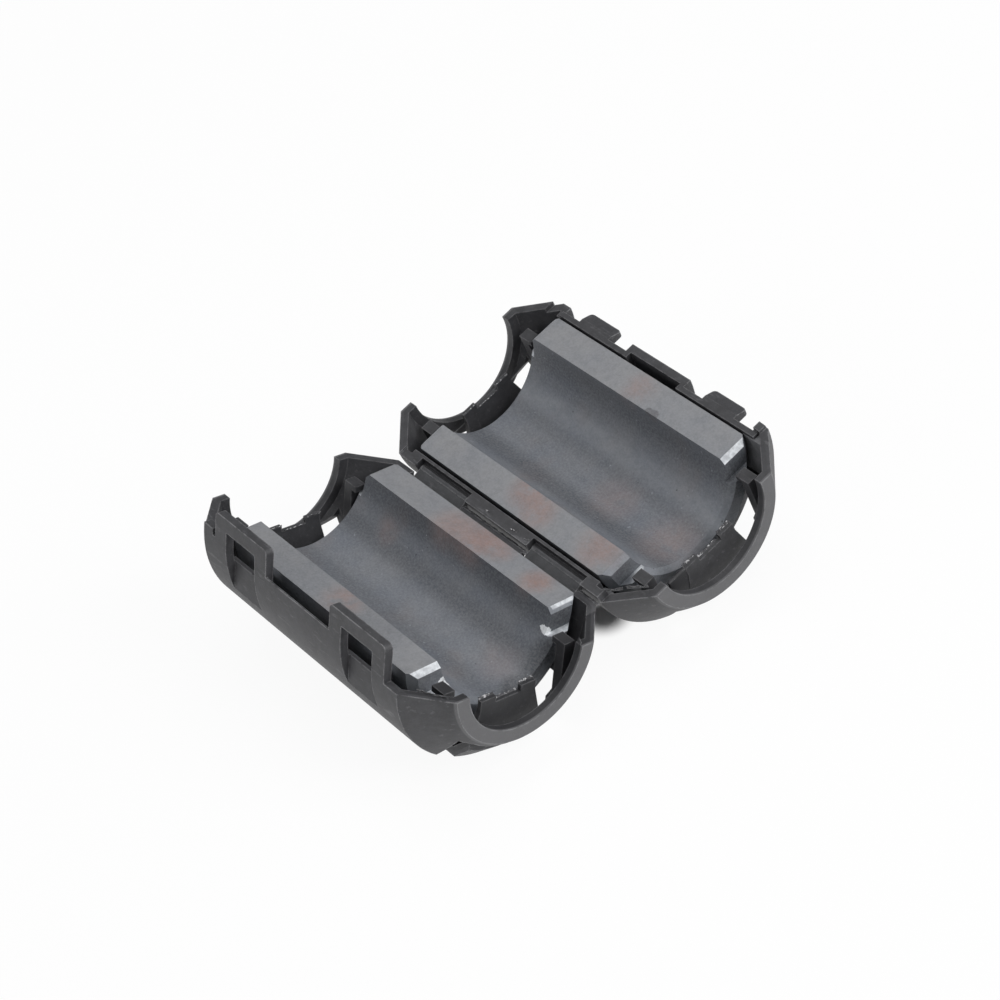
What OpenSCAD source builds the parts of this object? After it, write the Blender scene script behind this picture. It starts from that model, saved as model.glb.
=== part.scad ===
// Clip-on ferrite bead for round cables, lying open on its two round backs.
// A plastic case in two half shells, joined by two short straps with a film
// hinge at each end, holds two half-round ferrite cores.
// Millimetres. X along the cable, hinge line at Y = 0, latch half at -Y,
// catch half at +Y, Z up from the surface that the backs rest on.
// Each half is drawn in its own frame first: x along the cable, y away from
// the hinge, z above its parting plane (latch half mirrored when placed).

/* [Case] */
// overall length of the case
case_len = 37; // [30:0.5:46]
// outside radius of the round shells
case_r = 11.25; // [10.8:0.05:12]
// wall thickness of the shells
wall = 0.85; // [0.7:0.05:0.9]
// length of each coned end
cone_len = 3.9; // [3.5:0.1:4.5]
// radius of the cable mouth in each end
mouth_r = 6.35; // [5.8:0.05:6.6]
// length of the straight part of each mouth
mouth_len = 0.9; // [0.5:0.1:1]
// thickness of the case round each mouth
mouth_wall = 1.35; // [1.1:0.05:1.8]
// height of the parting plane over the shell axis
rim_rise = 0.2; // [0:0.05:0.4]
// gap between the two rims when the case is shut
shut_gap = 0.25; // [0.2:0.05:0.4]

/* [Ferrite cores] */
// gap between the round back of each core and its shell
core_gap = 0.9; // [0.9:0.05:1.2]
// radius of the cable channel in the cores
bore_r = 6.3; // [5.6:0.05:6.5]
// height of the channel's axis over the lands
bore_rise = 0.5; // [0:0.05:0.6]
// distance of the core ends from the ends of the case
core_end = 3.85; // [3.8:0.05:5]
// length of the end steps of the cores
step_len = 0.85; // [0.5:0.05:1.5]
// depth of the end steps below the lands
step_z = 2.4; // [2:0.1:3.4]
// chamfer along the end edges of the lands
land_chamfer = 0.5; // [0.2:0.1:0.8]
// chamfer round the ends of the cable channel
bore_chamfer = 0.5; // [0.3:0.1:1]
// chamfer round the outside of each core end
back_chamfer = 1.6; // [0.3:0.1:1.8]
// depth of both lands below the parting planes
land_drop = 0.2; // [0.15:0.05:0.4]
// shift of the catch side core along the case
catch_core_x = -0.22; // [-0.4:0.02:0.4]
// shift of the loose latch side core along the case
latch_core_x = -0.5; // [-0.5:0.05:0.4]
// shift of the loose latch side core towards the hinge
latch_core_y = 0.84; // [0:0.02:0.84]
// height of that core's middle over the parting plane
latch_core_z = -0.375; // [-0.4:0.005:-0.35]
// roll of that core in its shell
latch_core_roll = 4.3; // [0:0.1:4.4]

/* [Open pose] */
// angle that lifts the outer edge of the latch half
latch_tilt = 17.2; // [14:0.1:20]
// angle that lifts the outer edge of the catch half
catch_tilt = 13.1; // [11:0.1:16]

/* [Hinge] */
// distance of the film lines inside the round of the case
film_in = 0.5; // [0.45:0.01:0.55]
// depth of the film lines below the parting planes
film_z = 0.73; // [0.7:0.01:0.8]
// radius of the rounded strap edges at the film lines
film_r = 0.12; // [0.1:0.01:0.14]
// clearance round the strap edges
film_clear = 0.05; // [0.03:0.01:0.08]
// distance of each strap's middle from the end of the case
strap_end = 10.15; // [9.8:0.05:10.5]
// width of each strap
strap_w = 7.1; // [6.4:0.1:7.4]
// thickness of the strap plates outside the film lines
strap_t = 0.42; // [0.35:0.01:0.45]
// gap beside each strap
strap_gap = 0.25; // [0.15:0.05:0.4]
// distance of the catch half's inner hinge rim inside the round
lip_in = 1.35; // [1.25:0.05:1.4]
// thickness of that rim where the straps pass
lip_t = 0.3; // [0.25:0.05:0.35]
// step of the catch half's hinge rim below the parting plane
lip_drop = 0.15; // [0.1:0.05:0.25]

/* [Latch] */
// distance of each loop's middle from the end of the case
loop_end = 9.7; // [9.5:0.05:9.9]
// width of each loop
loop_w = 8; // [7:0.1:9]
// thickness of each loop
loop_t = 0.85; // [0.7:0.05:0.9]
// height of the loops over the parting plane
loop_z = 2.8; // [2.6:0.05:3.2]
// corner radius at the top of each loop
loop_round = 0.5; // [0.3:0.1:0.9]
// width of the window in each loop
window_w = 4.5; // [4:0.1:5]
// top edge of the window over the parting plane
window_top = 1.35; // [1.2:0.05:1.5]
// bottom edge of the window below the parting plane
window_bottom = 2; // [1.6:0.1:2.2]
// depth of the flat pocket floors inside the round of the case
pocket_in = 1.1; // [1.05:0.05:1.2]
// gap between the backing pads and the cores
pad_gap = 0.22; // [0.15:0.01:0.25]
// depth of the recesses for the loops inside the round of the case
recess_in = 0.95; // [0.95:0.05:1]
// depth of those recesses below the parting plane
recess_z = 3.6; // [3.5:0.1:4]
// gap beside each loop in its recess
recess_gap = 0.7; // [0.6:0.05:0.95]
// drop of the latch half's rim beyond the near loop
ear_drop = 1; // [0.4:0.1:1.2]
// rise of the latch half's rim beyond the far loop
ear_rise = 0.7; // [0.2:0.1:0.8]
// drop of the catch half's near hinge side rim
heel_drop = 1.1; // [0.4:0.1:1.3]
// rise of the catch half's near outer rim
toe_rise = 0.35; // [0.2:0.05:0.5]
// drop of the latch half's near hinge side rim
shoulder_drop = 0.5; // [0.3:0.1:0.8]
// rounding that leads down to it
shoulder_round = 1.2; // [0.9:0.1:1.4]
// width of each catch
catch_w = 4.3; // [3.6:0.1:4.35]
// reach of the catches beyond the round of the case
catch_out = 0.65; // [0.3:0.05:0.7]
// rounding of the catches' upright edges
catch_round = 0.4; // [0.2:0.1:0.8]
// clearance under the ledge of each catch
latch_clear = 0.1; // [0.05:0.05:0.15]

/* [Ends] */
// half width of the cable tongue at its teeth
tongue_w = 3.1; // [2.6:0.1:3.4]
// half width of the cable tongue at its root
tongue_root_w = 4.1; // [3.8:0.1:4.3]
// depth of the tongue's edge below the parting plane
tongue_z = 4.6; // [4.4:0.1:4.9]
// height of the two teeth on the tongue's edge
tooth_h = 0.6; // [0.3:0.05:0.7]
// width of each tooth
tooth_w = 1.7; // [1:0.1:1.8]
// slot between a tongue and the end wall
slot_w = 0.6; // [0.4:0.05:0.7]
// distance from the case ends to the far side of their windows
side_window_l = 6.2; // [4.5:0.1:6.4]
// outer side of those windows from the shell axis
side_window_y = 6.2; // [5.8:0.1:6.3]
// outer side of those windows under the core, where they are wider
side_window_wide = 8.6; // [7:0.1:8.8]
// gap between the core ends and the core stops
stop_gap = 0.65; // [0.6:0.05:0.75]
// length of each core stop along the case
stop_l = 1.1; // [0.9:0.1:1.4]
// inner side of each core stop from the shell axis
stop_y = 6.2; // [6:0.05:6.4]
// width of each core stop
stop_w = 1.2; // [0.8:0.1:1.4]
// depth of the stops' tops below the parting plane
stop_z = 1.5; // [1.2:0.1:1.7]
// reach of each stop's hook over the core's end step
hook_l = 0.6; // [0.3:0.05:0.6]
// thickness of that hook
hook_t = 0.6; // [0.4:0.1:0.7]

/* [Hidden] */
facets = 96;
far = 40;
// cone of the case ends
half_len = case_len / 2;
cone_x = half_len - cone_len;
nose_r = mouth_r + mouth_wall;
cone_slope = (case_r - nose_r) / (half_len - cone_x);
cone_wall = wall * sqrt(1 + cone_slope * cone_slope);
inner_r = case_r - wall;
inner_x = cone_x + (wall - cone_wall) / cone_slope;
mouth_x = half_len - mouth_len;
inner_mouth_r = max(mouth_r, case_r - cone_wall - cone_slope * (mouth_x - cone_x));
// cores
core_r = inner_r - core_gap;
core_len = case_len - 2 * core_end;
land_len = core_len - 2 * step_len;
// hinge: strap length, its slope when open and the distance of the axes
film_y = case_r - film_in;
lip_y = case_r - lip_in;
strap_x = half_len - strap_end;
strap_len = 2 * film_z + shut_gap;
film_dz = film_z - rim_rise;
strap_rise = film_y * (sin(latch_tilt) - sin(catch_tilt))
           + film_dz * (cos(latch_tilt) - cos(catch_tilt));
strap_slope = asin(strap_rise / strap_len);
axis_gap = strap_len * cos(strap_slope)
         + film_y * (cos(latch_tilt) + cos(catch_tilt))
         - film_dz * (sin(latch_tilt) + sin(catch_tilt));
latch_film_y = -axis_gap / 2 + film_y * cos(latch_tilt) - film_dz * sin(latch_tilt);
latch_film_z = case_r - film_y * sin(latch_tilt) - film_dz * cos(latch_tilt);
notch_w = strap_w + 2 * strap_gap;
notch_floor = -film_z - film_r - film_clear;
notch_deep = -film_z - strap_t - 0.2;
// latch
loop_x = half_len - loop_end;
loop_y = case_r - loop_t;
pocket_y = case_r - pocket_in;
pad_y = core_r + pad_gap;
recess_y = case_r - recess_in;
recess_x0 = loop_x - loop_w / 2 - recess_gap;
recess_x1 = loop_x + loop_w / 2 + recess_gap;
catch_y = case_r + catch_out;
ledge_z = shut_gap - window_top + latch_clear;
// ends: the cable tongue sits between the core end and the slot
stop_x = core_len / 2 + stop_gap;
tongue_x1 = half_len - 2;
tongue_x0 = stop_x + 0.1;
tongue_tip = 0.45;
window_x1 = tongue_x1 + slot_w;
side_window_x = half_len - side_window_l;
end_cut_z = -tongue_z - 0.2;
cone_face_z = -mouth_r - 0.65;

module place_latch() {
  translate([0, -axis_gap / 2, case_r])
    rotate([-latch_tilt, 0, 0])
      translate([0, 0, rim_rise])
        mirror([0, 1, 0])
          children();
}

module place_catch() {
  translate([0, axis_gap / 2, case_r])
    rotate([catch_tilt, 0, 0])
      translate([0, 0, rim_rise])
        children();
}

// block from its two corners
module block(a, b) {
  translate([min(a[0], b[0]), min(a[1], b[1]), min(a[2], b[2])])
    cube([abs(b[0] - a[0]), abs(b[1] - a[1]), abs(b[2] - a[2])]);
}

module both_ends() {
  children();
  mirror([1, 0, 0]) children();
}

// solid of revolution about the shell axis
module round_solid(points) {
  translate([0, 0, -rim_rise])
    rotate([0, 90, 0])
      rotate_extrude($fn = facets)
        polygon(points);
}

module outer_solid() {
  round_solid([[0, -half_len], [nose_r, -half_len], [case_r, -cone_x],
               [case_r, cone_x], [nose_r, half_len], [0, half_len]]);
}

module inner_solid() {
  round_solid([[0, -half_len - 1], [mouth_r, -half_len - 1],
               [mouth_r, -mouth_x], [inner_mouth_r, -mouth_x], [inner_r, -inner_x],
               [inner_r, inner_x], [inner_mouth_r, mouth_x], [mouth_r, mouth_x],
               [mouth_r, half_len + 1], [0, half_len + 1]]);
}

// open half shell without its fittings
module bare_shell() {
  difference() {
    outer_solid();
    inner_solid();
    block([-far, -far, 0], [far, far, far]);
  }
}

// windows each side of the tongue, and the slot in front of it
module end_cuts() {
  both_ends() {
    for (side = [-1, 1])
      end_cut(side_window_x, min(side * tongue_root_w, side * side_window_y),
              side_window_y - tongue_root_w);
    end_cut(tongue_x1, -tongue_root_w - 0.01, 2 * tongue_root_w + 0.02);
    for (side = [-1, 1])
      block([side_window_x, side * (side_window_y - 0.1), end_cut_z],
            [half_len - cone_len, side * side_window_wide, -far / 2]);
  }
}

// cut through the bottom of a coned end, its front face square to the cone
module end_cut(x0, y0, width) {
  translate([0, y0 + width, 0])
    rotate([90, 0, 0])
      linear_extrude(height = width)
        polygon([[x0, end_cut_z], [window_x1, end_cut_z], [window_x1, end_cut_z - 1],
                 [window_x1 + 0.75, cone_face_z], [window_x1 + 0.75, -far / 2],
                 [x0, -far / 2]]);
}

// springy tongue that grips the cable, with two teeth
module tongue() {
  intersection() {
    outer_solid();
    rotate([90, 0, 0])
      linear_extrude(height = 2 * tongue_root_w + 2, center = true)
        polygon([[tongue_x0, -far / 2], [tongue_x0, -core_r],
                 [tongue_x1 - tongue_tip - 0.05, -tongue_z],
                 [tongue_x1 - 0.05, -tongue_z],
                 [tongue_x1, cone_face_z], [tongue_x1, -far / 2]]);
    rotate([90, 0, 90])
      linear_extrude(height = far)
        polygon([[-tongue_w, 0], [-tongue_w, -tongue_z - 0.4],
                 [-tongue_root_w, -9], [-tongue_root_w, -far / 2],
                 [tongue_root_w, -far / 2], [tongue_root_w, -9],
                 [tongue_w, -tongue_z - 0.4], [tongue_w, 0]]);
  }
  for (side = [-1, 1])
    block([tongue_x1 - tongue_tip - 0.05, side * (tongue_w - tooth_w), -tongue_z - 0.2],
          [tongue_x1 - 0.05, side * tongue_w, -tongue_z + tooth_h]);
}

// posts at the core ends, each with a hook over the core's end step
module core_stops() {
  intersection() {
    outer_solid();
    for (side = [-1, 1]) {
      block([stop_x, side * stop_y, -stop_z],
            [stop_x + stop_l, side * (stop_y + stop_w), -far]);
      block([stop_x - hook_l, side * stop_y, -stop_z],
            [stop_x + 0.2, side * (stop_y + stop_w), -stop_z - hook_t]);
    }
  }
}

module end_fittings() {
  both_ends() {
    tongue();
    core_stops();
  }
}

// pads behind the flats of the outer wall
module pads(top, bottom, x0, x1) {
  intersection() {
    outer_solid();
    both_ends()
      block([x0, pad_y, top], [x1, loop_y + 0.2, bottom]);
  }
}

// room for the hinge straps in a hinge side rim
module strap_notches(inside) {
  both_ends()
    translate([strap_x - notch_w / 2, 0, 0])
      rotate([90, 0, 90])
        linear_extrude(height = notch_w)
          polygon([[-inside, 5], [-inside, notch_floor],
                   [-film_y - 0.05, notch_floor], [-film_y - 0.05, notch_deep],
                   [-far, notch_deep], [-far, 5]]);
}

// upright loop of the latch
module loop() {
  difference() {
    union() {
      block([loop_x - loop_w / 2, loop_y, -0.5],
            [loop_x + loop_w / 2, case_r, loop_z - loop_round]);
      block([loop_x - loop_w / 2 + loop_round, loop_y, -0.5],
            [loop_x + loop_w / 2 - loop_round, case_r, loop_z]);
      for (side = [-1, 1])
        translate([loop_x + side * (loop_w / 2 - loop_round), case_r, loop_z - loop_round])
          rotate([90, 0, 0])
            cylinder(r = loop_round, h = loop_t, $fn = 48);
    }
    block([loop_x - window_w / 2, loop_y - 1, -3],
          [loop_x + window_w / 2, case_r + 1, window_top]);
  }
}

module latch_half_shell() {
  difference() {
    union() {
      bare_shell();
      pads(-window_bottom, -6, loop_x - window_w / 2 - 0.6, loop_x + window_w / 2 + 0.6);
    }
    end_cuts();
    strap_notches(pad_y);
    // flat floored pockets under the loops, and their windows
    both_ends() {
      block([loop_x - window_w / 2, pocket_y, 1],
            [loop_x + window_w / 2, far, -far / 2]);
      block([loop_x - window_w / 2, 8, 1],
            [loop_x + window_w / 2, far, -window_bottom]);
    }
    // thinned rim between the loops, lowered rim beyond the near one
    rotate([90, 0, 90])
      linear_extrude(height = 2 * (loop_x - loop_w / 2), center = true)
        polygon([[9, 1], [case_r - 0.2, 1], [case_r - 0.2, 0], [inner_r - 0.3, -1.6], [9, -1.6]]);
    block([loop_x + loop_w / 2, 5.5, 1], [half_len + 1, far, -ear_drop]);
    // rounded shoulder of the rim beyond the near strap
    rotate([90, 0, 0])
      linear_extrude(height = far)
        difference() {
          translate([cone_x - 0.6, -shoulder_drop])
            square([far, far]);
          translate([cone_x - 0.6, -shoulder_round])
            circle(r = shoulder_round, $fn = 64);
        }
  }
  // raised rim beyond the far loop
  mirror([1, 0, 0])
    rotate([90, 0, 0])
      translate([0, 0, -case_r])
        linear_extrude(height = wall)
          polygon([[loop_x + loop_w / 2 + 0.4, -0.5], [loop_x + loop_w / 2 + 0.4, ear_rise],
                   [cone_x, ear_rise], [cone_x, -0.5]]);
  both_ends() loop();
  end_fittings();
}

// catch that snaps into a loop's window
module catch_wedge() {
  intersection() {
    rotate([90, 0, 90])
      linear_extrude(height = far)
        polygon([[recess_y - 0.2, 0], [recess_y + 0.4, 0], [catch_y, -0.45],
                 [catch_y - 0.1, ledge_z], [recess_y - 0.2, ledge_z]]);
    union() {
      block([loop_x - catch_w / 2, recess_y - 0.2, 1],
            [loop_x + catch_w / 2, catch_y - catch_round, -2]);
      block([loop_x - catch_w / 2 + catch_round, recess_y - 0.2, 1],
            [loop_x + catch_w / 2 - catch_round, catch_y + 1, -2]);
      for (side = [-1, 1])
        translate([loop_x + side * (catch_w / 2 - catch_round), catch_y - catch_round, -2])
          cylinder(r = catch_round, h = 3, $fn = 48);
    }
  }
}

module catch_half_shell() {
  difference() {
    union() {
      bare_shell();
      pads(0, -6, recess_x0 - 0.6, recess_x1 + 0.6);
      // inner hinge rim
      intersection() {
        outer_solid();
        block([-cone_x + 1, -lip_y, 0], [cone_x - 1, -inner_r - 0.1, -2.6]);
      }
    }
    end_cuts();
    strap_notches(lip_y + lip_t);
    block([-cone_x, -8, 1], [cone_x, -far, -lip_drop]);
    both_ends()
      block([recess_x0, recess_y, 1], [recess_x1, far, -recess_z]);
    block([cone_x, -5.5, 1], [half_len + 1, -far, -heel_drop]);
    // room for the raised rim of the latch half
    block([-recess_x1 + 0.1, recess_y - 1.3, 1],
          [-cone_x - 0.7, far, shut_gap - ear_rise - 0.1]);
  }
  // raised rim beyond the near catch
  rotate([90, 0, 0])
    translate([0, 0, -case_r])
      linear_extrude(height = wall)
        polygon([[recess_x1 + 0.05, -0.5], [recess_x1 + 0.05, toe_rise],
                 [cone_x - 0.3, toe_rise - 0.1], [cone_x, -0.5]]);
  both_ends() catch_wedge();
  end_fittings();
}

// half-round core: cable channel, flat lands, stepped ends
module core() {
  difference() {
    rotate([0, 90, 0])
      cylinder(r = core_r, h = core_len, center = true, $fn = facets);
    translate([0, 0, bore_rise])
      rotate([0, 90, 0])
        cylinder(r = bore_r, h = far, center = true, $fn = facets);
    block([-far, -far, 0], [far, far, far]);
    both_ends() {
      block([land_len / 2, -far, 1], [far, far, -step_z]);
      // end edges of the lands
      translate([land_len / 2, 0, 0])
        rotate([0, 45, 0])
          cube([land_chamfer * sqrt(2), far, land_chamfer * sqrt(2)], center = true);
      translate([core_len / 2 - bore_chamfer, 0, bore_rise])
        rotate([0, 90, 0])
          cylinder(r1 = bore_r, r2 = bore_r + bore_chamfer, h = bore_chamfer, $fn = facets);
      translate([core_len / 2 - back_chamfer, 0, 0])
        rotate([0, 90, 0])
          rotate_extrude($fn = facets)
            polygon([[core_r, 0], [core_r + 1, 0], [core_r + 1, back_chamfer + 1],
                     [core_r - back_chamfer, back_chamfer + 1],
                     [core_r - back_chamfer, back_chamfer]]);
    }
  }
}

// strap plate with a rounded edge on each film line
module strap() {
  translate([-strap_w / 2, 0, 0])
    rotate([90, 0, 90])
      linear_extrude(height = strap_w)
        polygon([[0, film_r], [strap_len, film_r],
                 [strap_len - 0.12, -0.06], [strap_len - strap_t, -strap_t],
                 [strap_t, -strap_t], [0.12, -0.06]]);
  for (edge = [0, strap_len])
    translate([-strap_w / 2, edge, 0])
      rotate([0, 90, 0])
        cylinder(r = film_r, h = strap_w, $fn = 32);
}

module place_strap() {
  translate([0, latch_film_y, latch_film_z])
    rotate([strap_slope, 0, 0])
      children();
}

module latch_shell() {
  color([0.13, 0.13, 0.14]) place_latch() latch_half_shell();
}

module catch_shell() {
  color([0.13, 0.13, 0.14]) place_catch() catch_half_shell();
}

module ferrite_core_latch_side() {
  color([0.4, 0.4, 0.42])
    place_latch()
      translate([latch_core_x, -latch_core_y, latch_core_z])
        rotate([-latch_core_roll, 0, 0])
          core();
}

module ferrite_core_catch_side() {
  color([0.4, 0.4, 0.42])
    place_catch()
      translate([catch_core_x, 0, -land_drop])
        core();
}

module hinge_strap_near() {
  color([0.13, 0.13, 0.14]) place_strap() translate([strap_x, 0, 0]) strap();
}

module hinge_strap_far() {
  color([0.13, 0.13, 0.14]) place_strap() translate([-strap_x, 0, 0]) strap();
}

latch_shell();
catch_shell();
ferrite_core_latch_side();
ferrite_core_catch_side();
hinge_strap_near();
hinge_strap_far();
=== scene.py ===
# %% [markdown]
# # Clip-on ferrite bead, lying open
# A clip-on ferrite bead is snapped round a cable to soak up radio noise. It has a charcoal
# nylon case in two half shells, joined by two short straps with a film hinge at each end,
# and a half-round core of grey ferrite, a brittle ceramic, lies loose in each half.
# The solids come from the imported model, so the first step loads them as a fixed frame. The
# lesson then gives each of them a finish, adds the thin film webs and the ragged moulding
# flash that solids leave out, and ends with the camera, the lamps and the floor.

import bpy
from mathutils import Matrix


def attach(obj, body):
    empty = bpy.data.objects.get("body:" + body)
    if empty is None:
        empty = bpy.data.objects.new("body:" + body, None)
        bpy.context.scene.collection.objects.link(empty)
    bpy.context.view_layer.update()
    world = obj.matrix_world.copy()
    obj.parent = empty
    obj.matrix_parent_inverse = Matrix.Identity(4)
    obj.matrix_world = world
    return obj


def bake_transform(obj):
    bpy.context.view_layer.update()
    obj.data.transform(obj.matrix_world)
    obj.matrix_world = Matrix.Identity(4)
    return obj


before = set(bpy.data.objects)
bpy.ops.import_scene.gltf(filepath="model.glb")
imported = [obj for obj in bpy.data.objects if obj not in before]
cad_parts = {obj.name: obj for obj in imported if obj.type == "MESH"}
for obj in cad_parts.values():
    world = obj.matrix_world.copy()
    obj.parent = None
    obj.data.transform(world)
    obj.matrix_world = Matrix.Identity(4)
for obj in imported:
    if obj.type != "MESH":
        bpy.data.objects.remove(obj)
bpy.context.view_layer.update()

import math
import bpy
from mathutils import Matrix, Vector

# %% [markdown]
# ## Where things are
# Each half was designed in a frame of its own: x along the cable, s outwards from the axis
# of the round shell, away from the hinge, and h above its parting plane. The open case lies
# on its two round backs, and each half leans a little. A small helper turns a place in a
# half, in millimetres, into a place in the scene, in metres, so that every detail below can
# be given where a maker would measure it.

# %% A place in a half
MM = 0.001
LEAN = {"latch": math.radians(17.2), "catch": math.radians(13.1)}
SIDE = {"latch": -1, "catch": 1}
AXIS_Y, AXIS_Z, RIM_RISE = 11.0039, 11.25, 0.2


def outward(half):
    return Vector((0, SIDE[half] * math.cos(LEAN[half]), math.sin(LEAN[half])))


def upward(half):
    return Vector((0, -SIDE[half] * math.sin(LEAN[half]), math.cos(LEAN[half])))


def place(half, x, s, h):
    axis = Vector((x, SIDE[half] * AXIS_Y, AXIS_Z))
    return (axis + s * outward(half) + (h + RIM_RISE) * upward(half)) * MM


print("latch half's outer rim lies at", [round(v, 4) for v in place("latch", 0, 11.25, 0)])

# %% [markdown]
# ## Shader maths in plain expressions
# A finish is easier to read when its maths looks like maths. The Value class wraps a socket,
# and its operators add Math nodes. The Finish class makes the material and has one method
# that adds any other node: the settings come first, because they change the sockets, then
# the values or links.

# %% Value and Finish
class Value:
    def __init__(self, finish, socket):
        self.finish, self.socket = finish, socket

    def maths(self, operation, *others, clamp=False):
        settings = {"operation": operation, "use_clamp": clamp}
        return self.finish.node("ShaderNodeMath", settings, self, *others).value(0)

    def __add__(self, other):
        return self.maths("ADD", other)

    __radd__ = __add__

    def __sub__(self, other):
        return self.maths("SUBTRACT", other)

    def __rsub__(self, other):
        return self.maths("MULTIPLY", -1.0).maths("ADD", other)

    def __mul__(self, other):
        return self.maths("MULTIPLY", other)

    __rmul__ = __mul__

    def __truediv__(self, other):
        return self.maths("DIVIDE", other)

    def clamped(self):
        return self.maths("ADD", 0.0, clamp=True)

    def ramp(self, low, high):
        """0 below low, 1 above high, smooth between; low may be above high."""
        node = self.finish.node("ShaderNodeMapRange", {"interpolation_type": "SMOOTHSTEP"},
                                Value=self, **{"From Min": low, "From Max": high})
        return node.value("Result")


class Node:
    def __init__(self, finish, node):
        self.finish, self.node = finish, node

    def value(self, name):
        return Value(self.finish, self.node.outputs[name])


class Finish:
    def __init__(self, name, **constants):
        self.material = bpy.data.materials.new(name)
        self.material.use_nodes = True
        self.tree = self.material.node_tree
        self.shader = self.tree.nodes["Principled BSDF"]
        for socket, value in constants.items():
            self.shader.inputs[socket.replace("_", " ")].default_value = value
        # object coordinates, in millimetres
        place_node = self.node("ShaderNodeTexCoord")
        self.normal = place_node.value("Normal")
        self.mm = self.node("ShaderNodeVectorMath", {"operation": "SCALE"},
                            place_node.value("Object"), Scale=1000.0).value(0)

    def node(self, kind, settings=None, *in_order, **by_name):
        node = self.tree.nodes.new(kind)
        for name, setting in (settings or {}).items():
            setattr(node, name, setting)
        for key, entry in list(enumerate(in_order)) + list(by_name.items()):
            self.feed(node.inputs[key], entry)
        return Node(self, node)

    def feed(self, socket, entry):
        if isinstance(entry, Value):
            self.tree.links.new(entry.socket, socket)
        else:
            socket.default_value = entry

    def noise(self, size_mm, detail=3.0, roughness=0.55, stretch=None, seed=0.0):
        """Soft noise whose patches are about size_mm across, from 0 to 1."""
        where = self.mm
        if stretch or seed:
            where = self.node("ShaderNodeMapping", None, Vector=where, Location=(seed, seed, seed),
                              Scale=stretch or (1, 1, 1)).value(0)
        return self.node("ShaderNodeTexNoise", None, Vector=where, Scale=1 / size_mm,
                         Detail=detail, Roughness=roughness).value(0)

    def near(self, point, radius_mm, softness=0.5):
        """1 at a point of the scene, falling to 0 at radius_mm."""
        away = self.node("ShaderNodeVectorMath", {"operation": "DISTANCE"}, self.mm,
                         tuple(c / MM for c in point)).value("Value")
        return away.ramp(radius_mm, radius_mm * (1 - softness))

    def along(self, y_mm, z_mm, width_mm):
        """1 on a line along the cable, falling softly to 0 at width_mm from it."""
        across = self.node("ShaderNodeVectorMath", {"operation": "MULTIPLY"}, self.mm,
                           (0, 1, 1)).value(0)
        away = self.node("ShaderNodeVectorMath", {"operation": "DISTANCE"}, across,
                         (0, y_mm, z_mm)).value("Value")
        return away.ramp(width_mm, width_mm * 0.15)

    def cable_x(self):
        """The place along the cable, in millimetres."""
        return self.node("ShaderNodeSeparateXYZ", None, self.mm).value("X")

    def facing(self, direction, low, high):
        """1 where the surface faces a direction."""
        dot = self.node("ShaderNodeVectorMath", {"operation": "DOT_PRODUCT"}, self.normal,
                        tuple(direction)).value("Value")
        return dot.ramp(low, high)

    def mix(self, share, first, second):
        """A colour between two colours, each a tuple or another mix."""
        node = self.node("ShaderNodeMix", {"data_type": "RGBA"})
        colours = [s for s in node.node.inputs if s.type == "RGBA"]
        self.feed(node.node.inputs[0], share)
        for socket, entry in zip(colours, (first, second)):
            self.feed(socket, entry if isinstance(entry, Value) else (*entry, 1.0))
        return Value(self, [s for s in node.node.outputs if s.type == "RGBA"][0])

    def bump(self, height, depth_mm, strength=1.0):
        node = self.node("ShaderNodeBump", None, Strength=strength, Distance=depth_mm * MM,
                         Height=height)
        self.feed(self.shader.inputs["Normal"], node.value("Normal"))


print("shader helpers ready")

# %% [markdown]
# ## Ferrite
# A ferrite core is pressed from powder and fired, so it is a matt blue-grey ceramic with
# fine grain, small dark pits and cloudy patches. The flat lands are ground after firing and
# are paler and warmer. The end chamfers and end steps keep a bright fired skin. Handling
# has left faint rust-coloured smudges on the lands. The bore has soft darker and brighter
# bands along the cable, which are painted shade and painted highlight. The end faces of the
# steps carry painted shade, and the rims facing the near end a painted highlight. Where an
# edge has broken, the fresh ceramic is almost white, with a ragged outline.
# One function makes this finish. The lands lie askew in the scene, so it takes the direction
# they face and a point on them, and from these two it finds which surface is ground. The marks
# are lists of spots: a place in the scene, a radius in millimetres, how strong the mark is and,
# for patches and bands, its colour.

# %% Ferrite finish
RUST = (0.262, 0.176, 0.158)
DARK_TONE = (0.050, 0.055, 0.064)
CHIP = (0.085, 0.082, 0.090)
# painted shade for the dark bands along the bore
PAINTED_BORE_SHADE = (0.030, 0.034, 0.042)
# a pale tone: painted highlight in the bore's bands and painted light on the catch core's end face
BRIGHT_TONE = (0.36, 0.38, 0.41)
FRESH_BREAK = (0.88, 0.90, 0.92)
CORE_ROLL = {"latch": 4.3, "catch": 0.0}
LAND_POINT_MM = {"latch": (8.79, -2.13, 8.97), "catch": (10.77, 3.89, 9.59)}


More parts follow.
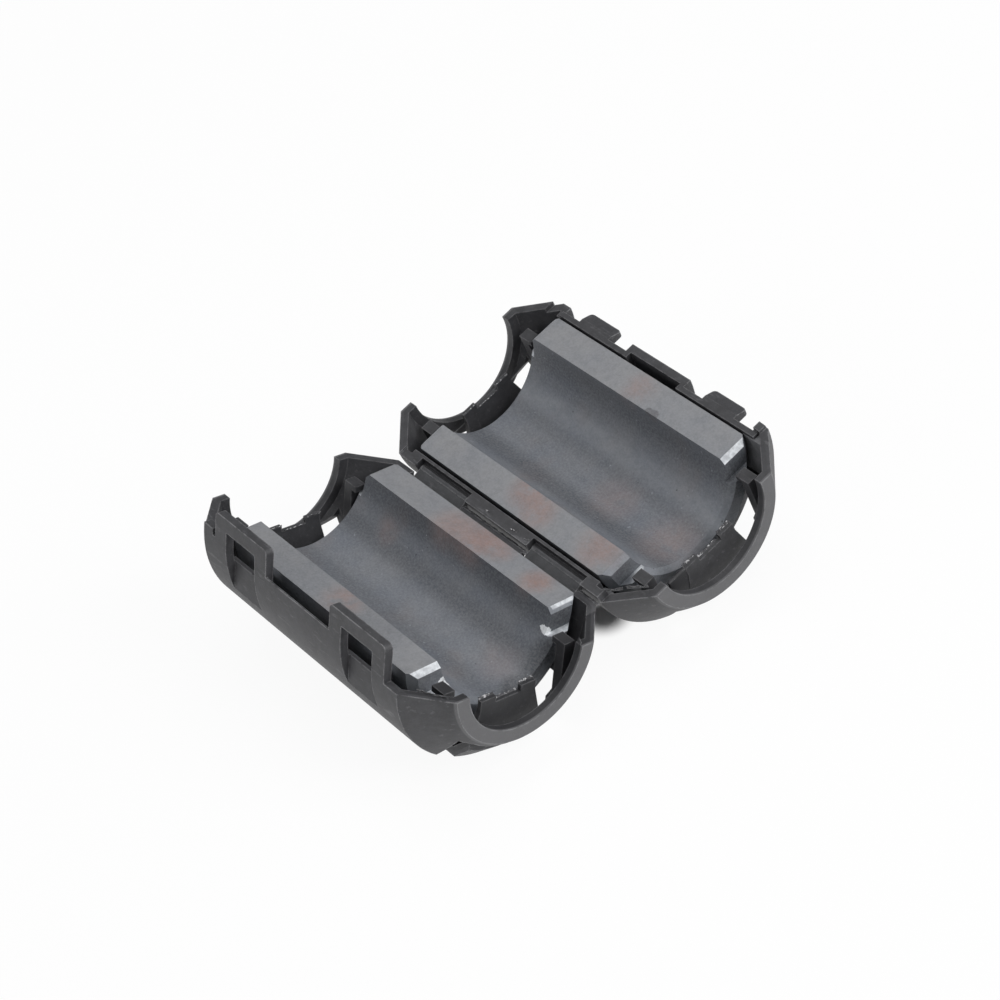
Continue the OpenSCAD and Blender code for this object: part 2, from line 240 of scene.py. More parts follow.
def ferrite(name, land_up, land_point, bands, smudges, patches, chips, dull, fresh):
    f = Finish(name, Metallic=0.0, IOR=1.6)
    height = f.node("ShaderNodeVectorMath", {"operation": "DOT_PRODUCT"}, f.mm,
                    tuple(land_up)).value("Value") - land_point.dot(land_up) / MM
    flat = f.facing(land_up, 0.985, 0.995)
    on_land = flat * height.ramp(-0.25, -0.1)
    end_face = f.facing((1, 0, 0), 0.6, 0.68).maths("MAXIMUM", f.facing((-1, 0, 0), 0.6, 0.68))
    from_middle = f.cable_x().maths("ABSOLUTE")
    chamfer = f.facing(land_up, 0.55, 0.62) * (1 - flat) * end_face * height.ramp(-1.3, -1.0)
    ledge = flat * height.ramp(-1.9, -2.1) * height.ramp(-2.9, -2.7)
    skin = (chamfer + ledge).clamped()
    for point, radius, below in dull:
        skin = skin * (1 - f.near(point, radius, 0.2) * height.ramp(below, below - 0.1))
    torn = f.noise(0.4, 3.0, seed=19.0)
    broken_fresh = 0.0
    for point, radius in fresh:
        bare = (f.near(point, radius, 0.9) + torn * 1.4 - 0.7).ramp(0.35, 0.5)
        broken_fresh = bare.maths("MAXIMUM", broken_fresh)
    painted_highlight_rim = f.facing((1, 0, 0), 0.6, 0.68) * (1 - f.facing((1, 0, 0), 0.9, 0.95))

    cloud = f.noise(5.0, 3.0)
    drift = f.noise(2.6, 4.0, 0.6, stretch=(0.45, 1, 1), seed=11.0)
    grain = f.noise(0.22, 4.0, 0.7)
    speck = f.noise(0.45, 1.0, 0.5, seed=7.0)
    pits = speck.ramp(0.25, 0.20) * (1 - on_land * 0.8)
    glints = speck.ramp(0.75, 0.79) * (1 - on_land * 0.7)

    body = f.mix(cloud.ramp(0.35, 0.7), (0.118, 0.132, 0.158), (0.150, 0.158, 0.174))
    body = f.mix(drift.ramp(0.35, 0.7) * 0.45, body, (0.185, 0.192, 0.205))
    body = f.mix(f.noise(7.0, 3.0, seed=3.0).ramp(0.52, 0.72) * 0.6, body, (0.165, 0.142, 0.140))
    # the bands along the bore are painted shade where dark and painted highlight where bright
    for y, z, width, amount, tone in bands:
        share = f.along(y, z, width) * (0.6 + drift * 0.8) * (1 - on_land) * amount
        body = f.mix(share, body, tone)
    ground = f.mix(cloud.ramp(0.3, 0.7), (0.205, 0.212, 0.228), (0.235, 0.236, 0.243))
    colour = f.mix(on_land, body, ground)
    # the end faces of the steps are painted darker: painted shade
    shaded_step_face = end_face * (1 - painted_highlight_rim) * from_middle.ramp(14.1, 13.9)
    colour = f.mix(shaded_step_face * 0.55, colour, (0.062, 0.068, 0.080))
    # the rims facing the near end are painted paler: a painted highlight
    colour = f.mix(painted_highlight_rim * 0.4, colour, (0.24, 0.26, 0.29))
    for point, radius, amount, tone in patches:
        colour = f.mix(f.near(point, radius, 0.6) * amount, colour, tone)
    powdery = f.noise(0.5, 3.0, seed=13.0).ramp(0.3, 0.65)
    colour = f.mix(skin, colour, f.mix(powdery, (0.42, 0.44, 0.47), (0.70, 0.73, 0.76)))
    if fresh:
        colour = f.mix(broken_fresh, colour, FRESH_BREAK)
    stain = f.noise(1.8, 3.0, 0.6, seed=1.0).ramp(0.22, 0.55)
    for point, radius, amount in smudges:
        colour = f.mix(f.near(point, radius, 0.85) * stain * amount, colour, RUST)
    broken = 0.0
    for point, radius in chips:
        broken = f.near(point, radius, 0.25) + broken
    if chips:
        colour = f.mix(broken.clamped() * 0.8, colour, CHIP)
    mottle = f.noise(0.9, 4.0, 0.65, seed=17.0)
    colour = f.mix(mottle.ramp(0.58, 0.36) * 0.22, colour, (0.085, 0.092, 0.105))
    colour = f.mix(grain.ramp(0.3, 0.75) * 0.34, colour, (0.33, 0.34, 0.36))
    colour = f.mix(pits * 0.6, colour, (0.045, 0.048, 0.055))
    colour = f.mix(glints * 0.35, colour, (0.42, 0.44, 0.47))
    f.feed(f.shader.inputs["Base Color"], colour)
    f.feed(f.shader.inputs["Roughness"], 0.62 - on_land * 0.10 - skin * 0.22 + grain * 0.08)
    f.bump(grain * 0.5 + f.noise(0.6, 3.0) - pits * 0.8 + broken * f.noise(0.5, 2.0), 0.05, 0.35)
    return f.material


def core_land(half):
    """The direction that a core's lands face, and a point on them."""
    lean = LEAN[half] - math.radians(CORE_ROLL[half])
    land_up = Vector((0, -SIDE[half] * math.sin(lean), math.cos(lean)))
    return land_up, Vector(LAND_POINT_MM[half]) * MM


def mm(*spot):
    return Vector(spot) * MM


latch_ferrite = ferrite(
    "ferrite_latch_side", *core_land("latch"),
    bands=[(-4.4, 8.7, 2.4, 0.58, PAINTED_BORE_SHADE), (-7.3, 5.7, 1.6, 0.42, PAINTED_BORE_SHADE),
           (-12.6, 5.6, 1.8, 0.36, PAINTED_BORE_SHADE), (-9.7, 5.1, 1.4, 0.06, BRIGHT_TONE)],
    smudges=[(mm(-2.3, -2.9, 9.1), 3.4, 0.75), (mm(1.2, -2.4, 9.0), 3.6, 1.0),
             (mm(3.6, -2.2, 9.0), 2.2, 0.6), (mm(9.2, -2.5, 9.0), 2.4, 1.0),
             (mm(0.8, -17.4, 12.5), 3.0, 0.7), (mm(-9.1, -6.2, 6.4), 2.0, 0.35),
             (mm(11.3, -9.4, 5.0), 3.0, 0.22)],
    # The first two patches make the outer land darker. The dark patches at x 13.9 to 14.4 are
    # painted shade on the near end face.
    patches=[(mm(-6.0, -17.6, 12.6), 6.5, 0.20, DARK_TONE), (mm(4.0, -17.6, 12.6), 6.5, 0.24, DARK_TONE),
             (mm(13.9, -3.5, 7.7), 1.7, 0.85, DARK_TONE),
             (mm(-12.0, -19.7, 11.3), 2.5, 0.35, BRIGHT_TONE),
             (mm(14.2, -6.2, 6.0), 2.1, 0.9, DARK_TONE), (mm(14.3, -7.9, 5.2), 1.7, 0.8, DARK_TONE),
             (mm(14.4, -10.2, 4.6), 2.1, 0.9, DARK_TONE)],
    chips=[],
    dull=[(mm(13.1, -2.9, 8.8), 2.2, -0.2), (mm(12.9, -4.45, 9.1), 0.7, 1.0)],
    fresh=[(mm(12.7, -5.05, 7.5), 0.42), (mm(13.15, -5.05, 7.4), 0.75),
           (mm(13.3, -16.5, 10.2), 0.85), (mm(13.3, -16.2, 9.6), 0.7)])
catch_ferrite = ferrite(
    "ferrite_catch_side", *core_land("catch"),
    bands=[(8.7, 5.8, 2.2, 0.64, PAINTED_BORE_SHADE), (13.6, 6.05, 1.0, 0.18, PAINTED_BORE_SHADE),
           (15.35, 7.3, 1.7, 0.30, BRIGHT_TONE), (17.2, 11.0, 2.8, 0.55, PAINTED_BORE_SHADE)],
    smudges=[(mm(0.3, 18.7, 13.0), 2.6, 0.6), (mm(10.8, 3.9, 9.6), 3.4, 0.8),
             (mm(0.2, 4.4, 9.7), 3.0, 0.9), (mm(2.6, 3.4, 9.5), 2.8, 0.8),
             (mm(3.5, 11.5, 4.9), 4.0, 0.35), (mm(11.5, 11.0, 5.0), 4.5, 0.4)],
    # the bright patch at x 14.4 is painted light on the core's end face, which lies in shade
    patches=[(mm(13.3, 4.0, 8.2), 1.5, 0.4, DARK_TONE), (mm(14.4, 9.0, 3.6), 2.4, 0.9, BRIGHT_TONE),
             (mm(13.9, 18.4, 9.6), 2.1, 0.8, DARK_TONE)],
    chips=[(mm(3.8, 17.2, 12.45), 0.75), (mm(3.1, 17.25, 12.6), 0.5)],
    dull=[(mm(13.1, 3.4, 9.4), 3.0, 1.0), (mm(13.6, 18.5, 10.3), 2.0, 1.0)],
    fresh=[])
print("ferrite finishes:", latch_ferrite.name, catch_ferrite.name)

# %% [markdown]
# ## Moulded nylon
# The case is charcoal nylon, moulded in a spark-eroded tool, so its skin has a fine even
# texture with a soft sheen. It is a little rubbed on the outside, and paler along edges, where
# it is handled and where the mould's halves meet, partly as rubbed wear and partly as a
# painted highlight. The rings round the two mouths are palest, which is painted light, and the
# inside is darker, above all in the latch half's near end, which is painted shade. A Bevel
# node finds the edges: near an edge it turns the normal, and where the turned normal and the
# real one differ, the plastic is paler. The torn flash is pale only in flecks, partly where it
# has been stretched white and partly as painted light shining through the thin flash.

# %% Nylon finish
CONE_X, CONE_SLOPE, INSIDE_RADIUS, MOUTH_X = 14.6, 0.91, 10.85, 18.2


def nylon(name, dark, pale, seed=0.0, edge_highlight_and_wear=0.7, near_end_painted_shade=0.0):
    f = Finish(name, Metallic=0.0, IOR=1.52)
    texture = f.noise(0.16, 3.0, 0.6, seed=seed)
    mottle = f.noise(0.9, 4.0, 0.65, seed=seed + 9)
    cloud = f.noise(4.0, 4.0, 0.6, seed=seed + 2)
    scuff = f.noise(0.5, 3.0, 0.6, stretch=(0.25, 1, 1), seed=seed + 5).ramp(0.60, 0.72)
    mirrored = f.node("ShaderNodeVectorMath", {"operation": "ABSOLUTE"}, f.mm).value(0)
    along_cable = f.cable_x()
    from_axis = f.node("ShaderNodeVectorMath", {"operation": "DISTANCE"},
                       f.node("ShaderNodeVectorMath", {"operation": "MULTIPLY"}, mirrored,
                              (0, 1, 1)).value(0), (0, AXIS_Y, AXIS_Z)).value("Value")
    from_middle = along_cable.maths("ABSOLUTE")
    mouth = from_middle.ramp(MOUTH_X, MOUTH_X + 0.15)
    wall_radius = INSIDE_RADIUS - (from_middle - CONE_X).maths("MAXIMUM", 0.0) * CONE_SLOPE
    inside = (wall_radius - from_axis).ramp(0.0, 0.2) * (1 - mouth)
    geometry = f.node("ShaderNodeNewGeometry").value("Normal")
    bevel = f.node("ShaderNodeBevel", {"samples": 4}, Radius=0.17 * MM).value("Normal")
    turned = 1 - f.node("ShaderNodeVectorMath", {"operation": "DOT_PRODUCT"},
                        bevel, geometry).value("Value")
    edge = turned.ramp(0.005, 0.06) * mottle.ramp(0.32, 0.56)
    colour = f.mix(cloud.ramp(0.3, 0.75), dark, pale)
    colour = f.mix(mottle.ramp(0.35, 0.75) * 0.5, colour, tuple(1.5 * c for c in pale))
    colour = f.mix(texture.ramp(0.4, 0.8) * 0.3, colour, tuple(1.7 * c for c in pale))
    colour = f.mix(scuff * 0.3, colour, (0.17, 0.17, 0.18))
    # the mouth rings are painted paler: painted light
    colour = f.mix(mouth * 0.6, colour, (0.15, 0.15, 0.155))
    # inside the shell the nylon is painted darker: painted shade, strongest at the near end
    shade = inside * (0.15 + along_cable.ramp(12.0, 15.5) * near_end_painted_shade)
    colour = f.mix(shade, colour, (0.010, 0.010, 0.012))
    # edges are paler: partly rubbed wear, partly a painted highlight
    colour = f.mix(edge * (1 - inside * 0.5) * edge_highlight_and_wear, colour, (0.30, 0.30, 0.31))
    f.feed(f.shader.inputs["Base Color"], colour)
    f.feed(f.shader.inputs["Roughness"], 0.50 + texture * 0.12 - scuff * 0.06 + cloud * 0.05)
    f.bump(texture + mottle * 0.8 + cloud * 0.4, 0.035, 0.5)
    return f.material


def torn_flash(name):
    f = Finish(name, Metallic=0.0, IOR=1.52)
    # pale flecks: partly nylon stretched white, partly painted light shining through the thin
    # flash
    whitened_and_lit_flecks = f.noise(0.30, 3.0, 0.6, seed=6.0).ramp(0.51, 0.60)
    f.feed(f.shader.inputs["Base Color"], f.mix(whitened_and_lit_flecks, (0.055, 0.055, 0.06), (0.52, 0.52, 0.53)))
    f.feed(f.shader.inputs["Roughness"], 0.55 - whitened_and_lit_flecks * 0.15)
    f.bump(whitened_and_lit_flecks, 0.03, 0.5)
    return f.material


case_tones = (0.033, 0.033, 0.036), (0.048, 0.048, 0.052)
# the latch half's copy carries more painted shade at its near end than the catch half's
case_nylon = {"latch": nylon("nylon_latch_half", *case_tones, near_end_painted_shade=0.45),
              "catch": nylon("nylon_catch_half", *case_tones, near_end_painted_shade=0.05)}
# the ribs stand in shade, so their nylon is a paler copy: painted light
lit_rib_nylon = nylon("nylon_ribs_painted_light", (0.12, 0.122, 0.13), (0.15, 0.152, 0.16), seed=2.0)
strap_nylon = nylon("nylon_straps", (0.040, 0.041, 0.044), (0.056, 0.057, 0.061), seed=4.0)
flash_nylon = torn_flash("nylon_torn_flash")


def finish_node(node, material):
    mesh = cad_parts[node].data
    mesh.materials.clear()
    mesh.materials.append(material)
    print(node, "is finished in", material.name)


finish_node("ferrite_core_latch_side", latch_ferrite)
finish_node("ferrite_core_catch_side", catch_ferrite)
for half in ("latch", "catch"):
    finish_node(half + "_shell", case_nylon[half])
for strap in ("hinge_strap_near", "hinge_strap_far"):
    finish_node(strap, strap_nylon)

# %% [markdown]
# ## Working in edit mode from a script
# The new pieces are made with the operators that the buttons of edit mode call. An operator
# acts on what is selected, so two helpers come first: one deselects all, and one selects
# vertices, edges or faces by where they are.

# %% Helpers for modelling
def deselect():
    for o in bpy.context.selected_objects:
        o.select_set(False)


def pick(piece, kind, test):
    """Select what passes a test of its middle, in edit mode, and say how many there are."""
    bpy.ops.object.mode_set(mode="OBJECT")
    mesh = piece.data
    for group in (mesh.vertices, mesh.edges, mesh.polygons):
        group.foreach_set("select", [False] * len(group))
    chosen = 0
    for element in getattr(mesh, kind):
        if kind == "vertices":
            middle = element.co
        else:
            corners = [mesh.vertices[i].co for i in element.vertices]
            middle = sum(corners, Vector()) / len(corners)
        element.select = bool(test(middle))
        chosen += element.select
    bpy.context.tool_settings.mesh_select_mode = (kind == "vertices", kind == "edges",
                                                  kind == "polygons")
    bpy.ops.object.mode_set(mode="EDIT")
    return chosen


def leave_edit_mode():
    bpy.ops.object.mode_set(mode="OBJECT")


def strip(length, width, parts, middle, turned):
    """A flat strip, parted along its length, at its place and size."""
    bpy.ops.mesh.primitive_grid_add(x_subdivisions=parts, y_subdivisions=2, size=1.0,
                                    location=middle, rotation=turned)
    piece = bpy.context.object
    piece.scale = (length, width, 1)
    bpy.ops.object.transform_apply(location=True, rotation=True, scale=True)
    return piece


def thicken(piece, thickness_mm, offset):
    solidify = piece.modifiers.new("thickness", "SOLIDIFY")
    solidify.thickness, solidify.offset = thickness_mm * MM, offset
    bpy.ops.object.modifier_apply(modifier=solidify.name)


print("modelling helpers ready")

# %% [markdown]
# ## Film webs
# The straps are part of the same moulding as the shells. What joins them is a film of nylon
# that is far thinner than a strap and bends when the case is shut. The solids leave a hair's
# breadth there, because each strap turns on its own, so the film is made here. A narrow strip
# is laid on the strap, its free edge is spun round the line that the strap turns on, as the
# rounded end of the strap is, and then extruded down on to the shell.

# %% Film webs
FILM = {"latch": mm(0, -0.8914, 7.5648), "catch": mm(0, 0.6538, 8.2973)}
STRAP_SLOPE = math.radians(25.36)
STRAP_MIDDLE, FILM_WIDTH = 8.35 * MM, 6.9 * MM
FILM_RADIUS, FILM_TAB, FILM_THICKNESS_MM = 0.128 * MM, 0.30 * MM, 0.03
FILM_WRAP, FOOT_OUT, FOOT_DOWN = 0.95, 0.27 * MM, 0.145 * MM
CLOSE = 1e-6
ALONG = Vector((1, 0, 0))
strap_run = Vector((0, math.cos(STRAP_SLOPE), math.sin(STRAP_SLOPE)))
strap_up = Vector((0, -math.sin(STRAP_SLOPE), math.cos(STRAP_SLOPE)))


def film_web(name, half, x_middle):
    deselect()
    line = FILM[half] + ALONG * x_middle
    into_strap = strap_run * -SIDE[half]
    into_shell = outward(half)
    # a strip on the strap's top, ending over the line
    top = line + strap_up * FILM_RADIUS
    web = strip(FILM_WIDTH, FILM_TAB, 30, top + into_strap * FILM_TAB / 2, (STRAP_SLOPE, 0, 0))
    web.name = web.data.name = name
    # its edge over the line is spun down towards the shell
    leaving = into_shell * math.sin(FILM_WRAP) + upward(half) * math.cos(FILM_WRAP)
    angle = strap_up.angle(leaving)
    turn = angle if half == "catch" else -angle
    pick(web, "edges", lambda middle: abs((middle - top).dot(into_strap)) < CLOSE)
    bpy.ops.mesh.spin(steps=5, angle=turn, center=line, axis=ALONG)
    end = line + leaving * FILM_RADIUS
    found = pick(web, "edges", lambda middle: (middle - ALONG * (middle - end).dot(ALONG)
                                               - end).length < 2 * CLOSE)
    assert found, "the spun edge wasn't found: turn the other way"
    foot = line + into_shell * FOOT_OUT - upward(half) * FOOT_DOWN
    bpy.ops.mesh.extrude_region_move(TRANSFORM_OT_translate={"value": foot - end})
    # the two outer edges of a film are never quite straight
    pick(web, "vertices", lambda middle: (middle - line).length_squared > 0
         and ((middle - foot).dot(into_shell) > -CLOSE
              or (middle - top).dot(into_strap) > FILM_TAB - CLOSE))
    bpy.ops.transform.vertex_random(offset=0.02 * MM, uniform=0.0, normal=0.0, seed=3)
    bpy.ops.mesh.select_all(action="SELECT")
    bpy.ops.mesh.normals_make_consistent(inside=False)
    leave_edit_mode()
    if web.data.polygons[0].normal.dot(strap_up) < 0:
        web.data.flip_normals()
    thicken(web, FILM_THICKNESS_MM, 1.0)
    bpy.ops.object.shade_smooth_by_angle(angle=math.radians(40))
    web.data.materials.append(strap_nylon)
    on_shell, on_strap = line + into_shell * 0.2 * MM, line + into_strap * 0.05 * MM
    if half == "latch":
        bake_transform(web)
    else:
        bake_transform(web)
    print(name, "has", len(web.data.polygons), "faces")


for end_name, x_middle in (("near", STRAP_MIDDLE), ("far", -STRAP_MIDDLE)):
    film_web("film_web_latch_" + end_name, "latch", x_middle)
    film_web("film_web_catch_" + end_name, "catch", x_middle)

# %% [markdown]
# ## Moulding flash and burrs
# Where the two halves of a mould meet, and where shut-offs pass through a part, hot nylon
# creeps into the crack and sets as a ragged fin thinner than paper. This case has a fin along
# the latch half's hinge rim, pale torn burrs on the cable tongues, stops and mouth edges, and
# a few small dark flakes on the rims of both halves.
# Each fin is a grid laid along its edge. The vertices on the free side are shifted at random,
# from a fixed seed, and a Solidify modifier makes it a thin plate. All the fins of one half
# are then joined into one piece, which rides with that half.

# %% Flash
def fin(start, finish, reach, thickness_mm, tear_mm, seed, material):
    """A ragged fin along the line from start to finish, standing out by reach."""
    deselect()
    run = finish - start
    across = (reach - run * (reach.dot(run) / run.length_squared)).normalized()
    normal = run.normalized().cross(across)
    turned = Matrix((run.normalized(), across, normal)).transposed().to_euler()
    pieces = max(4, round(run.length / MM * 4))
    plate = strip(run.length, reach.length, pieces,
                  start + run / 2 + across * reach.length / 2, turned)
    pick(plate, "vertices", lambda at: (at - start).dot(across) > reach.length * 0.4)
    bpy.ops.transform.vertex_random(offset=tear_mm * MM, uniform=0.0, normal=0.0, seed=seed)
    leave_edit_mode()
    thicken(plate, thickness_mm, 0.0)
    plate.data.materials.append(material)
    return plate


def join_fins(name, body, fins):
    deselect()
    for plate in fins:
        plate.select_set(True)
    bpy.context.view_layer.objects.active = fins[0]
    bpy.ops.object.join()
    joined = bpy.context.object
    joined.name = joined.data.name = name
    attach(joined, body)
    print(name, "joins", len(fins), "fins")


FIN_THICKNESS_MM = 0.07


def half_fin(half, start, finish, reach, tear_mm=0.08, seed=0, material=None):
    """A fin of one half, with its places and its reach given as (x, s, h) in millimetres."""
    x, s, h = reach
    stands_out = (ALONG * x + outward(half) * s + upward(half) * h) * MM
    return fin(place(half, *start), place(half, *finish), stands_out, FIN_THICKNESS_MM,
               tear_mm, seed, material or flash_nylon)


RIM_S, RIM_H, RIM_REACH = -11.24, -0.05, (0, -0.30, -0.02)
RIM_STRETCHES = (-4.6, 4.85), (12.2, 14.7)
rim_fins = [half_fin("latch", (x0, RIM_S, RIM_H), (x1, RIM_S, RIM_H), RIM_REACH, seed=number,
                     material=case_nylon["latch"])
            for number, (x0, x1) in enumerate(RIM_STRETCHES)]
rim_fins.append(half_fin("latch", (4.45, -11.0, -0.1), (4.86, -11.0, -0.1), (0, -0.5, 0),
                         tear_mm=0.03, seed=2, material=case_nylon["latch"]))
join_fins("flash_hinge_rim", "latch_half", rim_fins)

TIP_X, TOOTH_IN, TOOTH_OUT, TOOTH_H, TONGUE_H = 16.04, 1.45, 3.05, -4.02, -4.62
TONGUE_S0, TONGUE_S1 = -1.2, 1.1
# start, finish, reach, tear, seed and whether it has the case's own dark nylon
FLAKES = {
    "latch": [((15.2, 9.4, -1.0), (17.6, 7.9, -1.0), (0, 0, 0.16), 0.1, 21, True),
              ((17.5, -6.7, -0.5), (18.3, -6.3, -0.5), (0.1, 0, 0.25), 0.1, 22, True)],
    "catch": [((1.9, -10.9, -0.17), (2.7, -10.7, -0.17), (0, 0.1, 0.14), 0.08, 23, False),
              ((-1.9, -10.8, -0.17), (-1.3, -10.7, -0.17), (0, 0.1, 0.10), 0.08, 24, False),
              ((3.9, -10.9, -0.17), (4.5, -10.7, -0.17), (0, 0.1, 0.14), 0.08, 25, True),
              ((14.9, -10.35, -0.1), (16.1, -9.3, -0.1), (0, 0.1, 0.26), 0.14, 26, True),
              ((16.3, -9.0, -0.1), (17.9, -7.7, -0.1), (0, 0.1, 0.24), 0.14, 27, True)]}

for half in ("latch", "catch"):
    burrs = []
    for end in (1, -1):
        tip = end * TIP_X
        for number, side in enumerate((-1, 1)):
            burrs.append(half_fin(half, (tip, side * TOOTH_IN, TOOTH_H),
                                  (tip, side * TOOTH_OUT, TOOTH_H), (-0.10 * end, 0, 0.22),
                                  seed=number + 3 * end + 5))
        burrs.append(half_fin(half, (tip, TONGUE_S0, TONGUE_H), (tip, TONGUE_S1, TONGUE_H),
                              (-0.14 * end, 0, 0.16), seed=4 + end))
    for start, finish, reach, tear, seed, dark in FLAKES[half]:
        burrs.append(half_fin(half, start, finish, reach, tear, seed,
                              case_nylon[half] if dark else flash_nylon))
    join_fins("burrs_%s_half" % half, half + "_half", burrs)

# %% [markdown]
# ## End ribs
# At the near end of the catch half the wall has three low ribs, at its outer side, its hinge
# side and its bottom, which fill the slit between the core's end and the wall. Each is a
# small flat strip spun round the axis of the shell, as the wall itself is round. Its angles
# are measured from the outward side of the half, going down. The windows between the ribs
# stay open.

# %% End ribs
RIB_X0, RIB_X1, RIB_IN, RIB_OUT, RIB_EDGE = 12.6, 15.1, 9.62, 10.4, 0.08
# where each rib starts and how far it goes round, in degrees
RIB_ANGLES = {"end_rib_outer": (1, 24), "end_rib_bottom": (92, 26), "end_rib_hinge": (151, 16)}


def end_rib(name, start, sweep):
    deselect()
    half = "catch"
    axis = place(half, (RIB_X0 + RIB_X1) / 2, 0, -RIM_RISE)
    spoke = outward(half) * math.cos(start) - upward(half) * math.sin(start)
    turned = Matrix((ALONG, spoke, ALONG.cross(spoke))).transposed().to_euler()
    rib = strip((RIB_X1 - RIB_X0) * MM, (RIB_OUT - RIB_IN) * MM, 1,
                axis + spoke * (RIB_IN + RIB_OUT) / 2 * MM, turned)
    rib.name = rib.data.name = name
    bpy.ops.object.mode_set(mode="EDIT")
    bpy.ops.mesh.select_all(action="SELECT")
    bpy.ops.mesh.spin(steps=12, angle=sweep, center=axis, axis=ALONG)
    bpy.ops.mesh.select_all(action="SELECT")
    bpy.ops.mesh.remove_doubles(threshold=1e-7)
    bpy.ops.mesh.normals_make_consistent(inside=False)
    leave_edit_mode()
    bevel = rib.modifiers.new("edges", "BEVEL")
    bevel.width, bevel.segments = RIB_EDGE * MM, 2
    bpy.ops.object.modifier_apply(modifier=bevel.name)
    bpy.ops.object.shade_smooth_by_angle(angle=math.radians(30))
    rib.data.materials.append(lit_rib_nylon)
    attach(rib, "catch_half")
    lowest = min(v.co.z for v in rib.data.vertices)
    print(rib.name, "reaches down to", round(lowest / MM, 2), "mm")


for name, (start, sweep) in RIB_ANGLES.items():
    end_rib(name, math.radians(start), math.radians(sweep))

# %% [markdown]
# ## Tongue wing
# The near tongue of the catch half is wider towards the hinge. The wing that widens it is a
# flat strip stood up in the plane of the tongue, thickened by Solidify and rounded by a
# Bevel modifier.

# %% Tongue wing
WING_X, WING_THICKNESS, WING_ROUND = 16.0, 0.42, 0.16
WING_S0, WING_S1, WING_H0, WING_H1 = -5.2, -3.0, -7.4, -3.9


def tongue_wing(name):
    deselect()
    half = "catch"
    middle = place(half, WING_X, (WING_S0 + WING_S1) / 2, (WING_H0 + WING_H1) / 2)
    turned = Matrix((outward(half), upward(half), outward(half).cross(upward(half))))
    wing = strip((WING_S1 - WING_S0) * MM, (WING_H1 - WING_H0) * MM, 4, middle,
                 turned.transposed().to_euler())
    wing.name = wing.data.name = name
    thicken(wing, WING_THICKNESS, 1.0)
    bevel = wing.modifiers.new("edges", "BEVEL")
    bevel.width, bevel.segments = WING_ROUND * MM, 3
    bpy.ops.object.modifier_apply(modifier=bevel.name)
    bpy.ops.object.shade_smooth_by_angle(angle=math.radians(30))
    # the wing takes the latch half's nylon, whose painted shade darkens the near end
    wing.data.materials.append(case_nylon["latch"])
    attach(wing, "catch_half")
    print(name, "is", round(max(v.co.x for v in wing.data.vertices) / MM, 2), "mm from the middle")


tongue_wing("tongue_wing_catch_near")

# %% [markdown]
# ## Camera
# The camera looks down on the open halves from the near end and from the latch side, with a
# long lens, so that lines along the cable stay almost parallel.

# %% Camera
camera_data = bpy.data.cameras.new("camera")
camera_data.sensor_width, camera_data.lens = 36.0, 95.559
camera_data.clip_start, camera_data.clip_end = 0.01, 20.0
camera = bpy.data.objects.new("camera", camera_data)
bpy.context.scene.collection.objects.link(camera)
RIGHT = (0.62966, 0.76064, -0.15794)
UP = (-0.44997, 0.52282, 0.72401)
BACK = (0.63329, -0.38481, 0.67147)
CAMERA_PLACE = (0.155697, -0.093464, 0.175983)
turned = Matrix((RIGHT, UP, BACK)).transposed().to_4x4()
camera.matrix_world = Matrix.Translation(CAMERA_PLACE) @ turned
bpy.context.scene.camera = camera
print("camera is", round(camera.location.length, 3), "m from the part")

# %% [markdown]
# ## Floor, lamps and background
# A plain pale floor and big soft lamps show the dark nylon best. The floor is a white diffuse
# surface. Seen straight by the camera it is mixed with plain white light, which hides its far
# edge against the white background and leaves the shadow of the part as a faint tone. Under
# the hinge the shadow is darker. An Ambient Occlusion node finds where the floor is shut in by
# the part, and there the plain light is taken away. When the part is shut the spot fades, but
# it doesn't go altogether: a grey smudge is left on the floor beside the part.

# %% Floor and lamps
bpy.context.scene.view_settings.view_transform = "Standard"
deselect()
bpy.ops.mesh.primitive_plane_add(size=3.0, location=(0, 0, -0.00002))
floor = bpy.context.object
floor.name = "floor"
SPOT, SPOT_RADIUS_MM, SPOT_SOFTNESS = mm(9.5, 3.9, 0.0), 3.3, 0.7
SHUT_IN_REACH, GLOW_SHARE = 0.008, 0.93
white = Finish("floor_white", Roughness=0.9)
white.shader.inputs["Base Color"].default_value = (0.88, 0.88, 0.88, 1)
light_path = white.node("ShaderNodeLightPath")
seen = light_path.value("Is Camera Ray")
for kind in ("Is Glossy Ray", "Is Transmission Ray"):
    seen = seen.maths("MAXIMUM", light_path.value(kind))
glow = white.node("ShaderNodeEmission", None, Color=(1, 1, 1, 1), Strength=1.0).value(0)
lit = Value(white, white.shader.outputs[0])
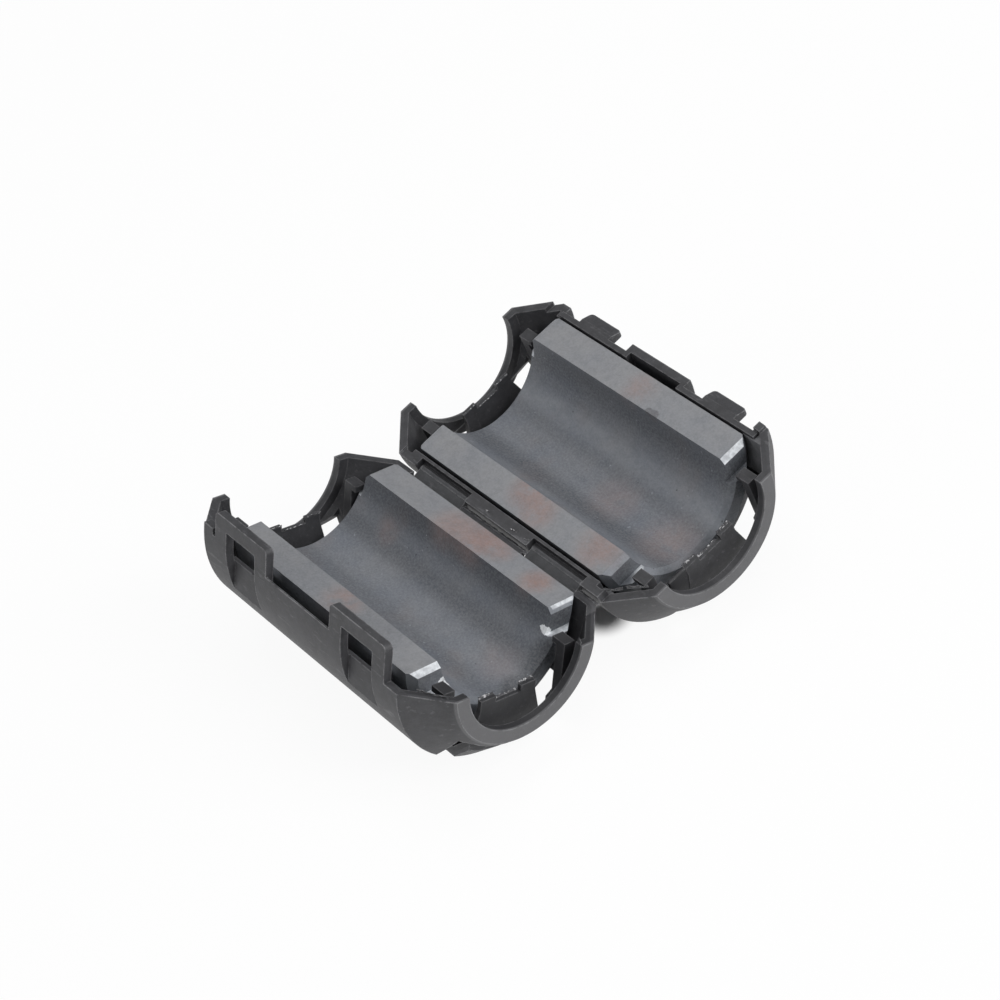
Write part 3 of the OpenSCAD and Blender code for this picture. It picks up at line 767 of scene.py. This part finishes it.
open_sky = white.node("ShaderNodeAmbientOcclusion", {"samples": 4},
                      Distance=SHUT_IN_REACH).value("AO")
between_halves = white.near(SPOT, SPOT_RADIUS_MM, SPOT_SOFTNESS) * open_sky.ramp(0.95, 0.75)
share_of_glow = seen * (1 - between_halves) * GLOW_SHARE
surface = white.node("ShaderNodeMixShader", None, share_of_glow, lit, glow).value(0)
white.feed(white.tree.nodes["Material Output"].inputs["Surface"], surface)
floor.data.materials.append(white.material)

world = bpy.data.worlds.new("studio")
bpy.context.scene.world = world
world.use_nodes = True
tree = world.node_tree
tree.nodes.clear()
output = tree.nodes.new("ShaderNodeOutputWorld")
share = tree.nodes.new("ShaderNodeMixShader")
rays = tree.nodes.new("ShaderNodeLightPath")
tree.links.new(rays.outputs["Is Camera Ray"], share.inputs[0])
# what lights the part is dim and a little blue, and what the camera sees is plain white
for slot, colour, strength in ((1, (0.95, 0.97, 1, 1), 0.12), (2, (1, 1, 1, 1), 1.0)):
    background = tree.nodes.new("ShaderNodeBackground")
    background.inputs["Color"].default_value = colour
    background.inputs["Strength"].default_value = strength
    tree.links.new(background.outputs[0], share.inputs[slot])
tree.links.new(share.outputs[0], output.inputs[0])


def softbox(name, direction, distance, size, watts):
    lamp = bpy.data.lights.new(name, "AREA")
    lamp.shape, lamp.size, lamp.energy = "SQUARE", size, watts
    box = bpy.data.objects.new(name, lamp)
    bpy.context.scene.collection.objects.link(box)
    towards = Vector(direction).normalized()
    box.location = towards * distance
    box.rotation_euler = towards.to_track_quat("Z", "Y").to_euler()
    print(name, "shines from", [round(c, 2) for c in towards])


softbox("softbox_key", (0.67, 0.385, 0.63), 0.6, 0.30, 1.8)
softbox("softbox_top", (-0.15, 0.1, 1.0), 0.7, 0.5, 2.2)
softbox("softbox_low", (-0.1, -0.95, 0.3), 0.8, 0.5, 1.7)
softbox("softbox_front", (0.5, -0.5, 0.8), 0.8, 0.5, 0.8)
softbox("softbox_side", (0.55, 0.8, 0.15), 0.7, 0.4, 1.2)

# %% [markdown]
# ## End of the scene

# %% End
print("scene built")
